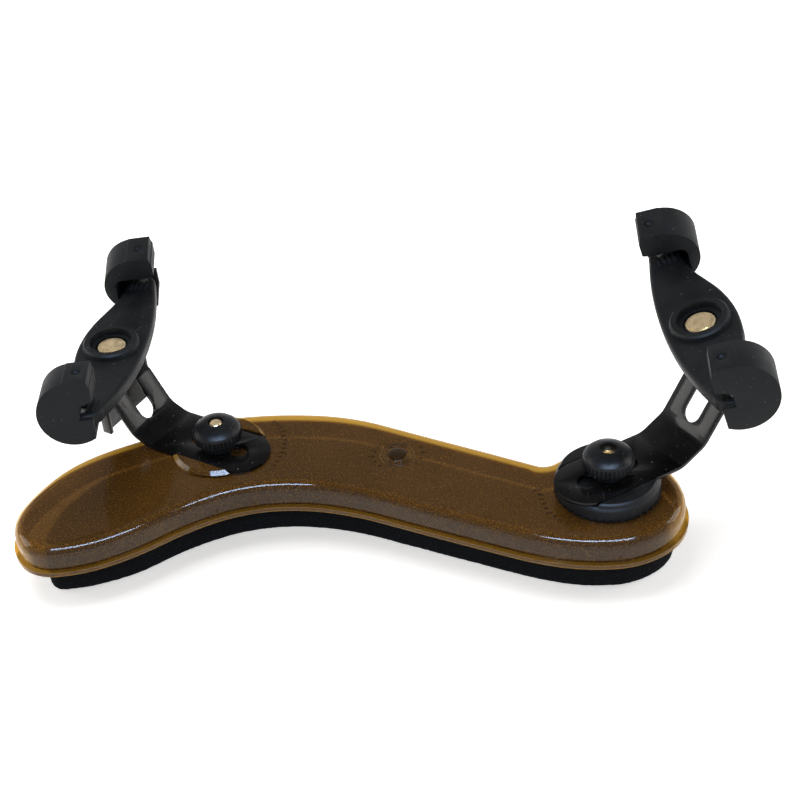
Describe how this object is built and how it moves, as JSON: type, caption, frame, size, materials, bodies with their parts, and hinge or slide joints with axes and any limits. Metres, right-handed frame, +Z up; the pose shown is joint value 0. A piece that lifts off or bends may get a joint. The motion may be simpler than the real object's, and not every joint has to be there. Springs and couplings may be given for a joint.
{
  "type": "violin shoulder rest",
  "caption": "Violin shoulder rest: curved amber shell over a foam pad, bent slotted legs, swivelling height-set forks and rubber claws that grip the instrument's edge.",
  "frame": {"origin": "middle of the bottom of the whole box, under the foam pad", "axes": "+Z up from the player's shoulder to the instrument, +X along the rest towards the turntable, +Y towards the side the legs lean to"},
  "size_m": [0.2348, 0.1298, 0.0891],
  "materials": {
    "amber_plastic": "glossy translucent amber",
    "foam": "fine open foam",
    "black_steel": "glossy black",
    "steel_hardware": "zinc plated",
    "brass": "turned, bright",
    "black_plastic": "satin moulded",
    "rubber": "matte"
  },
  "bodies": {
    "rest_body": {"shell": "amber_plastic", "foam_pad": "foam", "stud_left": "brass", "stud_right": "brass", "leg_left": "black_steel", "height_screw_left": "steel_hardware"},
    "turntable": {"turntable": "black_plastic", "leg_right": "black_steel", "height_screw_right": "steel_hardware"},
    "thumb_nut_left": {"thumb_nut_left": "black_plastic", "nut_insert_left": "brass"},
    "height_nut_left": {"height_nut_left": "steel_hardware"},
    "slide_left": {"height_slide_left": "black_steel", "fork_pivot_left": "brass"},
    "fork_left": {"fork_arm_left": "black_plastic", "grip_pad_left_front": "rubber", "claw_pin_left_front": "steel_hardware", "grip_pad_left_back": "rubber", "claw_pin_left_back": "steel_hardware"},
    "claw_left_front": {"claw_left_front": "rubber"},
    "claw_left_back": {"claw_left_back": "rubber"},
    "thumb_nut_right": {"thumb_nut_right": "black_plastic", "nut_insert_right": "brass"},
    "height_nut_right": {"height_nut_right": "steel_hardware"},
    "slide_right": {"height_slide_right": "black_steel", "fork_pivot_right": "brass"},
    "fork_right": {"fork_arm_right": "black_plastic", "grip_pad_right_front": "rubber", "claw_pin_right_front": "steel_hardware", "grip_pad_right_back": "rubber", "claw_pin_right_back": "steel_hardware"},
    "claw_right_front": {"claw_right_front": "rubber"},
    "claw_right_back": {"claw_right_back": "rubber"}
  },
  "joints": [
    {"name": "turntable_turn", "type": "hinge", "parent": "rest_body", "child": "turntable", "pos_m": [0.0729, -0.03534, 0.023], "axis": [0, 0, 1], "range_deg": [-20, 20]},
    {"name": "thumb_nut_spin_left", "type": "hinge", "parent": "rest_body", "child": "thumb_nut_left", "pos_m": [-0.0513, 0.00046, 0.023], "axis": [0, 0, 1], "continuous": true},
    {"name": "height_nut_spin_left", "type": "hinge", "parent": "rest_body", "child": "height_nut_left", "pos_m": [-0.08514, 0.0216, 0.04255], "axis": [-0.848, 0.5299, 0], "continuous": true},
    {"name": "height_left", "type": "slide", "parent": "rest_body", "child": "slide_left", "axis": [0, 0, 1], "range_m": [0, 0.0128]},
    {"name": "fork_swivel_left", "type": "hinge", "parent": "slide_left", "child": "fork_left", "pos_m": [-0.08429, 0.02107, 0.0481], "axis": [0, 0, 1], "range_deg": [-30, 30]},
    {"name": "claw_swivel_left_front", "type": "hinge", "parent": "fork_left", "child": "claw_left_front", "pos_m": [-0.08945, -0.01617, 0.05242], "axis": [0.0139, 0.093, 0.9956], "range_deg": [-6, 6]},
    {"name": "claw_swivel_left_back", "type": "hinge", "parent": "fork_left", "child": "claw_left_back", "pos_m": [-0.07616, 0.05788, 0.05242], "axis": [-0.0139, -0.093, 0.9956], "range_deg": [-6, 6]},
    {"name": "thumb_nut_spin_right", "type": "hinge", "parent": "rest_body", "child": "thumb_nut_right", "pos_m": [0.0729, -0.03534, 0.023], "axis": [0, 0, 1], "continuous": true},
    {"name": "height_nut_spin_right", "type": "hinge", "parent": "turntable", "child": "height_nut_right", "pos_m": [0.10955, -0.01666, 0.0504], "axis": [0.8543, 0.4353, 0.284], "continuous": true},
    {"name": "height_right", "type": "slide", "parent": "turntable", "child": "slide_right", "axis": [-0.2531, -0.1289, 0.9588], "range_m": [-0.0128, 0]},
    {"name": "fork_swivel_right", "type": "hinge", "parent": "slide_right", "child": "fork_right", "pos_m": [0.10405, -0.01946, 0.06771], "axis": [-0.2917, -0.0508, 0.9552], "range_deg": [-30, 30]},
    {"name": "claw_swivel_right_front", "type": "hinge", "parent": "fork_right", "child": "claw_right_front", "pos_m": [0.10538, -0.05718, 0.07063], "axis": [-0.2978, 0.0431, 0.9537], "range_deg": [-6, 6]},
    {"name": "claw_swivel_right_back", "type": "hinge", "parent": "fork_right", "child": "claw_right_back", "pos_m": [0.09735, 0.01761, 0.07215], "axis": [-0.283, -0.1442, 0.9482], "range_deg": [-6, 6]}
  ]
}
